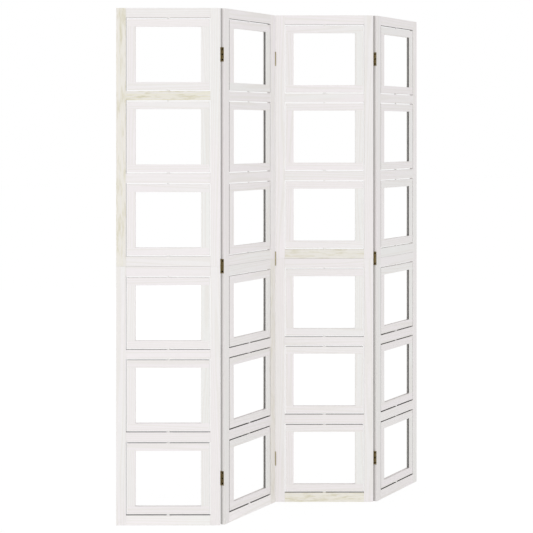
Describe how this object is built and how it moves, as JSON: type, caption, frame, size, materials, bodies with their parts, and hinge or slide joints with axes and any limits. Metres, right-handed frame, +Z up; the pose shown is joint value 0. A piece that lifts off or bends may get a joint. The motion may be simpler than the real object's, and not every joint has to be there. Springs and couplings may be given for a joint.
{
  "type": "folding room divider",
  "caption": "Zigzag folding screen of white painted wood whose hinged panels each hold a column of empty picture frames that swivel on upright pins.",
  "frame": {"origin": "on the floor, at the middle of the bounding box of the whole zigzag", "axes": "+Z up, +X along the line of the divider from panel 1 to panel 4, front towards -Y"},
  "size_m": [1.2854, 0.1932, 1.8],
  "materials": {
    "white_paint": "white paint, satin, thin enough for the grain to show faintly",
    "cream_paint": "the same paint over a yellower board, so that it reads as cream",
    "beech": "bare turned dowel",
    "brass": "dull, slightly tarnished brass",
    "dark_brass": "dark bronzed screw"
  },
  "bodies": {
    "panel_1": {"panel_1_upper_left_stile": "cream_paint", "panel_1_upper_right_stile": "white_paint", "panel_1_lower_left_stile": "white_paint", "panel_1_lower_right_stile": "white_paint", "panel_1_rails": "white_paint", "panel_1_dowels": "beech", "panel_1_hinge_leaves": "brass", "panel_1_hinge_screws": "dark_brass", "fold_1_hinge_pins": "brass"},
    "panel_2": {"panel_2_upper_left_stile": "white_paint", "panel_2_upper_right_stile": "white_paint", "panel_2_lower_left_stile": "white_paint", "panel_2_lower_right_stile": "white_paint", "panel_2_rails": "white_paint", "panel_2_dowels": "beech", "panel_2_hinge_leaves": "brass", "panel_2_hinge_screws": "dark_brass", "fold_2_hinge_pins": "brass"},
    "panel_3": {"panel_3_upper_left_stile": "white_paint", "panel_3_upper_right_stile": "white_paint", "panel_3_lower_left_stile": "white_paint", "panel_3_lower_right_stile": "white_paint", "panel_3_rails": "white_paint", "panel_3_dowels": "beech", "panel_3_hinge_leaves": "brass", "panel_3_hinge_screws": "dark_brass", "fold_3_hinge_pins": "brass"},
    "panel_4": {"panel_4_upper_left_stile": "white_paint", "panel_4_upper_right_stile": "white_paint", "panel_4_lower_left_stile": "white_paint", "panel_4_lower_right_stile": "white_paint", "panel_4_rails": "white_paint", "panel_4_dowels": "beech", "panel_4_hinge_leaves": "brass", "panel_4_hinge_screws": "dark_brass"},
    "panel_1_frame_1": {"panel_1_frame_1": "white_paint"},
    "panel_1_frame_2": {"panel_1_frame_2": "white_paint"},
    "panel_1_frame_3": {"panel_1_frame_3": "white_paint"},
    "panel_1_frame_4": {"panel_1_frame_4": "white_paint"},
    "panel_1_frame_5": {"panel_1_frame_5": "white_paint"},
    "panel_1_frame_6": {"panel_1_frame_6": "white_paint"},
    "panel_2_frame_1": {"panel_2_frame_1": "white_paint"},
    "panel_2_frame_2": {"panel_2_frame_2": "white_paint"},
    "panel_2_frame_3": {"panel_2_frame_3": "white_paint"},
    "panel_2_frame_4": {"panel_2_frame_4": "white_paint"},
    "panel_2_frame_5": {"panel_2_frame_5": "white_paint"},
    "panel_2_frame_6": {"panel_2_frame_6": "white_paint"},
    "panel_3_frame_1": {"panel_3_frame_1": "white_paint"},
    "panel_3_frame_2": {"panel_3_frame_2": "white_paint"},
    "panel_3_frame_3": {"panel_3_frame_3": "white_paint"},
    "panel_3_frame_4": {"panel_3_frame_4": "white_paint"},
    "panel_3_frame_5": {"panel_3_frame_5": "white_paint"},
    "panel_3_frame_6": {"panel_3_frame_6": "white_paint"},
    "panel_4_frame_1": {"panel_4_frame_1": "white_paint"},
    "panel_4_frame_2": {"panel_4_frame_2": "white_paint"},
    "panel_4_frame_3": {"panel_4_frame_3": "white_paint"},
    "panel_4_frame_4": {"panel_4_frame_4": "white_paint"},
    "panel_4_frame_5": {"panel_4_frame_5": "white_paint"},
    "panel_4_frame_6": {"panel_4_frame_6": "white_paint"}
  },
  "joints": [
    {"name": "fold_1", "type": "hinge", "parent": "panel_2", "child": "panel_1", "pos_m": [-0.32175, -0.08376, 0.9], "axis": [0, 0, -1], "range_deg": [-60, 120]},
    {"name": "fold_2", "type": "hinge", "parent": "panel_2", "child": "panel_3", "pos_m": [0, 0.08376, 0.9], "axis": [0, 0, -1], "range_deg": [-60, 120]},
    {"name": "fold_3", "type": "hinge", "parent": "panel_3", "child": "panel_4", "pos_m": [0.32175, -0.08376, 0.9], "axis": [0, 0, 1], "range_deg": [-60, 120]},
    {"name": "swivel_1_1", "type": "hinge", "parent": "panel_1", "child": "panel_1_frame_1", "pos_m": [-0.48262, 0, 1.6385], "axis": [0, 0, 1], "continuous": true},
    {"name": "swivel_1_2", "type": "hinge", "parent": "panel_1", "child": "panel_1_frame_2", "pos_m": [-0.48262, 0, 1.3515], "axis": [0, 0, 1], "continuous": true},
    {"name": "swivel_1_3", "type": "hinge", "parent": "panel_1", "child": "panel_1_frame_3", "pos_m": [-0.48262, 0, 1.0625], "axis": [0, 0, 1], "continuous": true},
    {"name": "swivel_1_4", "type": "hinge", "parent": "panel_1", "child": "panel_1_frame_4", "pos_m": [-0.48262, 0, 0.7385], "axis": [0, 0, 1], "continuous": true},
    {"name": "swivel_1_5", "type": "hinge", "parent": "panel_1", "child": "panel_1_frame_5", "pos_m": [-0.48262, 0, 0.4515], "axis": [0, 0, 1], "continuous": true},
    {"name": "swivel_1_6", "type": "hinge", "parent": "panel_1", "child": "panel_1_frame_6", "pos_m": [-0.48262, 0, 0.1625], "axis": [0, 0, 1], "continuous": true},
    {"name": "swivel_2_1", "type": "hinge", "parent": "panel_2", "child": "panel_2_frame_1", "pos_m": [-0.16087, 0, 1.6385], "axis": [0, 0, 1], "continuous": true},
    {"name": "swivel_2_2", "type": "hinge", "parent": "panel_2", "child": "panel_2_frame_2", "pos_m": [-0.16087, 0, 1.3515], "axis": [0, 0, 1], "continuous": true},
    {"name": "swivel_2_3", "type": "hinge", "parent": "panel_2", "child": "panel_2_frame_3", "pos_m": [-0.16087, 0, 1.0625], "axis": [0, 0, 1], "continuous": true},
    {"name": "swivel_2_4", "type": "hinge", "parent": "panel_2", "child": "panel_2_frame_4", "pos_m": [-0.16087, 0, 0.7385], "axis": [0, 0, 1], "continuous": true},
    {"name": "swivel_2_5", "type": "hinge", "parent": "panel_2", "child": "panel_2_frame_5", "pos_m": [-0.16087, 0, 0.4515], "axis": [0, 0, 1], "continuous": true},
    {"name": "swivel_2_6", "type": "hinge", "parent": "panel_2", "child": "panel_2_frame_6", "pos_m": [-0.16087, 0, 0.1625], "axis": [0, 0, 1], "continuous": true},
    {"name": "swivel_3_1", "type": "hinge", "parent": "panel_3", "child": "panel_3_frame_1", "pos_m": [0.16087, 0, 1.6385], "axis": [0, 0, 1], "continuous": true},
    {"name": "swivel_3_2", "type": "hinge", "parent": "panel_3", "child": "panel_3_frame_2", "pos_m": [0.16087, 0, 1.3515], "axis": [0, 0, 1], "continuous": true},
    {"name": "swivel_3_3", "type": "hinge", "parent": "panel_3", "child": "panel_3_frame_3", "pos_m": [0.16087, 0, 1.0625], "axis": [0, 0, 1], "continuous": true},
    {"name": "swivel_3_4", "type": "hinge", "parent": "panel_3", "child": "panel_3_frame_4", "pos_m": [0.16087, 0, 0.7385], "axis": [0, 0, 1], "continuous": true},
    {"name": "swivel_3_5", "type": "hinge", "parent": "panel_3", "child": "panel_3_frame_5", "pos_m": [0.16087, 0, 0.4515], "axis": [0, 0, 1], "continuous": true},
    {"name": "swivel_3_6", "type": "hinge", "parent": "panel_3", "child": "panel_3_frame_6", "pos_m": [0.16087, 0, 0.1625], "axis": [0, 0, 1], "continuous": true},
    {"name": "swivel_4_1", "type": "hinge", "parent": "panel_4", "child": "panel_4_frame_1", "pos_m": [0.48262, 0, 1.6385], "axis": [0, 0, 1], "continuous": true},
    {"name": "swivel_4_2", "type": "hinge", "parent": "panel_4", "child": "panel_4_frame_2", "pos_m": [0.48262, 0, 1.3515], "axis": [0, 0, 1], "continuous": true},
    {"name": "swivel_4_3", "type": "hinge", "parent": "panel_4", "child": "panel_4_frame_3", "pos_m": [0.48262, 0, 1.0625], "axis": [0, 0, 1], "continuous": true},
    {"name": "swivel_4_4", "type": "hinge", "parent": "panel_4", "child": "panel_4_frame_4", "pos_m": [0.48262, 0, 0.7385], "axis": [0, 0, 1], "continuous": true},
    {"name": "swivel_4_5", "type": "hinge", "parent": "panel_4", "child": "panel_4_frame_5", "pos_m": [0.48262, 0, 0.4515], "axis": [0, 0, 1], "continuous": true},
    {"name": "swivel_4_6", "type": "hinge", "parent": "panel_4", "child": "panel_4_frame_6", "pos_m": [0.48262, 0, 0.1625], "axis": [0, 0, 1], "continuous": true}
  ]
}
